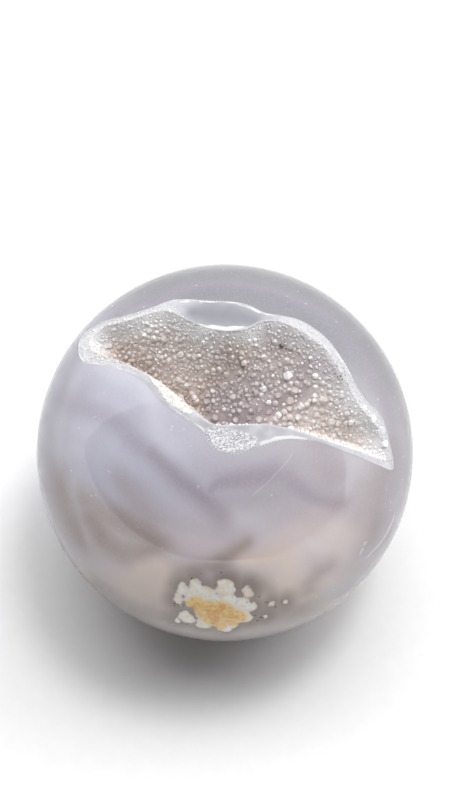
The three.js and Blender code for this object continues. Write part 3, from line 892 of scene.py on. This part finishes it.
def standing(places, gap, rng):
    """Which of a crowd of places keep a crystal. Each place has a random rank; again and again, those
    that outrank everyone nearer than their gap stay, and those nearer than the gap to them go."""
    along = np.argsort(places[:, 0])
    sorted_x, widest, size = places[along, 0], gap.max(), 600
    pairs = []
    for k in range(0, len(places), size):
        part = along[k : k + size]
        low = np.searchsorted(sorted_x, sorted_x[k] - widest)
        high = np.searchsorted(sorted_x, places[part[-1], 0] + widest)
        others = along[low:high]
        squared = ((places[part, None] - places[others]) ** 2).sum(axis=2)
        a, b = np.nonzero(squared < ((gap[part, None] + gap[others]) / 2) ** 2)
        pairs.append(np.stack([part[a], others[b]]))
    first, second = np.concatenate(pairs, axis=1)
    first, second = first[first != second], second[first != second]
    rank = rng.permutation(len(places))
    open_still = np.ones(len(places), bool)
    kept = np.zeros(len(places), bool)
    while open_still.any():
        outranked = np.zeros(len(places), bool)
        outranked[first[open_still[first] & open_still[second] & (rank[second] < rank[first])]] = True
        chosen = open_still & ~outranked
        kept |= chosen
        open_still &= ~chosen
        open_still[second[chosen[first]]] = False
    return kept


def unit(vectors):
    return vectors / np.linalg.norm(vectors, axis=1, keepdims=True)


def on_ground(rng):
    """Random places on the ground, even by area, with the ground's outward normal at each."""
    mesh = crust.data
    count = len(mesh.polygons)
    area, centre, normal = (np.empty(size * count) for size in (1, 3, 3))
    for name, values in (("area", area), ("center", centre), ("normal", normal)):
        mesh.polygons.foreach_get(name, values)
    area[: crust_grows.size] *= crust_grows.ravel()
    area[crust_grows.size :] = 0
    chosen = rng.choice(count, CRYSTAL_TRIES, p=area / area.sum())
    spread = CRYSTAL_SPREAD * rng.uniform(-1, 1, (CRYSTAL_TRIES, 3))
    normal = normal.reshape(-1, 3)[chosen]
    spread -= (spread * normal).sum(axis=1, keepdims=True) * normal
    return centre.reshape(-1, 3)[chosen] + spread, normal


def quartz_points():
    """All crystals in one mesh. A crystal is three levels along its axis: the foot and the shoulder, each
    six corners about the axis with uneven shoulders, and the tip, set a little aside."""
    rng = np.random.default_rng(CRYSTAL_SEED)
    foot, normal = on_ground(rng)
    outward = foot - BALL_MIDDLE
    depth = BALL_RADIUS - np.linalg.norm(outward, axis=1)
    outward = unit(outward)
    gap = np.interp(depth, GAP_DEPTHS, CRYSTAL_GAPS) * rng.uniform(*GAP_SPAN, len(foot))
    gap *= 1 + 0.15 * streaks(foot, ROSY_ROUTE)
    gap = np.maximum(gap, TEETH_GAP * streaks(foot, TEETH_ROUTE))
    bare = BARE_FLOOR * streaks(foot, LILAC_ROUTE[:1])
    kept = standing(foot, gap, rng) & (depth > EDGE_DEPTH) & (rng.uniform(0, 1, len(foot)) > bare)
    foot, normal, gap, depth, outward = foot[kept], normal[kept], gap[kept], depth[kept], outward[kept]
    count = len(foot)
    lean = CRYSTAL_LEAN * np.clip(depth / (3 * MM), 0.4, 1)[:, None]
    axis = unit(normal + lean * rng.normal(size=(count, 3)))
    side = unit(np.cross(axis, rng.normal(size=(count, 3))))
    other = np.cross(axis, side)
    rosy = streaks(foot, ROSY_ROUTE)
    girth = np.interp(depth, GIRTH_DEPTHS, CRYSTAL_GIRTH) * gap * rng.uniform(*GIRTH_SPAN, count)
    radius = np.minimum(girth, ROOM_SHARE * depth + 0.05 * MM)
    dark = (streaks(foot, SPECK_ROUTE) > 0.4) & (rng.uniform(0, 1, count) > 0.5)
    radius[dark] *= DARK_SIZE
    white = np.zeros(count)
    for bearing, down, size in WHITE_POINTS:
        nearest = np.argmax(outward @ directions(radians(bearing), radians(down)))
        white[nearest], radius[nearest] = 1, size * MM
    room = ROOM_SHARE * depth / np.maximum(0.3, (axis * outward).sum(axis=1))
    shoulder = (0.04 + 0.8 * rng.uniform(0, 1, count) ** 5 + 0.2 * rosy + 0.3 * white) * radius
    tip = np.minimum(shoulder + TIP_SLOPE * radius, room)
    shoulder = np.minimum(shoulder, tip - 0.6 * np.minimum(tip, TIP_SLOPE * radius))
    turn = np.arange(SIDES) * 2 * pi / SIDES
    around = np.cos(turn)[:, None] * side[:, None] + np.sin(turn)[:, None] * other[:, None]
    reach = radius[:, None, None]
    around = around * reach
    uneven = SHOULDER_WAVER * rng.uniform(-1, 1, (count, SIDES, 1)) * reach
    uneven *= np.clip(depth / MM, 0, 1)[:, None, None]
    base = foot[:, None] + around - SUNK * reach * axis[:, None]
    top = foot[:, None] + around + (shoulder[:, None, None] + uneven) * axis[:, None]
    aside = TIP_ASIDE * (side * rng.uniform(-1, 1, (count, 1)) + other * rng.uniform(-1, 1, (count, 1)))
    peak = foot + tip[:, None] * axis + aside * radius[:, None]
    points = np.concatenate([base, top, peak[:, None]], axis=1).reshape(-1, 3)
    here = np.arange(SIDES)
    after = (here + 1) % SIDES
    sides = np.stack([here, after, SIDES + after, SIDES + here], axis=-1)
    caps = np.stack([SIDES + here, SIDES + after, np.full(SIDES, 2 * SIDES)], axis=-1)
    each = 2 * SIDES + 1
    start = (np.arange(count) * each)[:, None, None]
    faces = (start + sides).reshape(-1, 4), (start + caps).reshape(-1, 3), start[:, 0] + here[::-1]
    piece = mesh_piece("quartz_points", points, *faces)
    piece.data.shade_flat()
    carry(
        piece,
        height=np.tile([0.0] * SIDES + [0.6] * SIDES + [1.0], count),
        tone=np.repeat(rng.uniform(0, 1, count), each),
        depth=np.repeat(depth / MM, each),
        brown=np.repeat(streaks(foot, BROWN_ROUTE), each),
        lilac=np.repeat(streaks(foot, LILAC_ROUTE), each),
        rosy=np.repeat(rosy, each),
        dark=np.repeat(dark, each),
        white=np.repeat(white, each),
    )
    return piece


def crystal_material():
    """Half clear quartz over stained feet: tan at the left, lilac grey on the floor, rosy at the right. Each
    has its own tone and is painted lighter toward its tip as a highlight; the listed ones are white and a
    few are dark."""
    material, tree = new_material("druzy quartz points")
    depth, tone, height = tree.mark("depth"), tree.mark("tone"), tree.mark("height")

    def stained(shallow, deep, brown, lilac, rosy):
        colour = tree.mix(tree.span(depth, 1.5, 4.5), linear(*shallow), linear(*deep))
        stains = (tree.mark("brown"), *brown), (tree.mark("lilac"), *lilac), (tree.mark("rosy"), *rosy)
        return tree.glaze(colour, *stains)

    # painted highlight: each crystal goes from its foot's colour to a lighter tip; the stains lie on both
    foot = stained((243, 242, 244), (222, 213, 209), (190, 173, 163), (170, 159, 164), (230, 219, 214))
    tip = stained((250, 249, 250), (238, 232, 229), (222, 208, 199), (200, 191, 194), (248, 241, 238))
    tip = tree.glaze(tip, (tree.span(tone, 0.75, 1.0, 0.0, 0.9), 254, 253, 252))
    colour = tree.glaze(
        tree.mix(tree.span(height, 0.35, 0.95), foot, tip),
        (tree.span(tone, 0.3, 0.0, 0.0, 0.2), 200, 186, 180),
        (tree.mark("white"), 254, 254, 254),
        (tree.mark("dark"), 112, 104, 102),
    )
    inputs = {
        "Base Color": colour,
        "Roughness": 0.22,
        "IOR": QUARTZ_IOR,
        "Transmission Weight": 0.1,
        "Subsurface Weight": 0.5,
        "Subsurface Radius": (1.0, 0.95, 0.93),
        "Subsurface Scale": 0.12 * MM,
    }
    tree.surface(inputs)
    return material


crystals = quartz_points()
crystals.data.materials.append(crystal_material())
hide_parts("druzy_crust")
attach(crystals, "root")
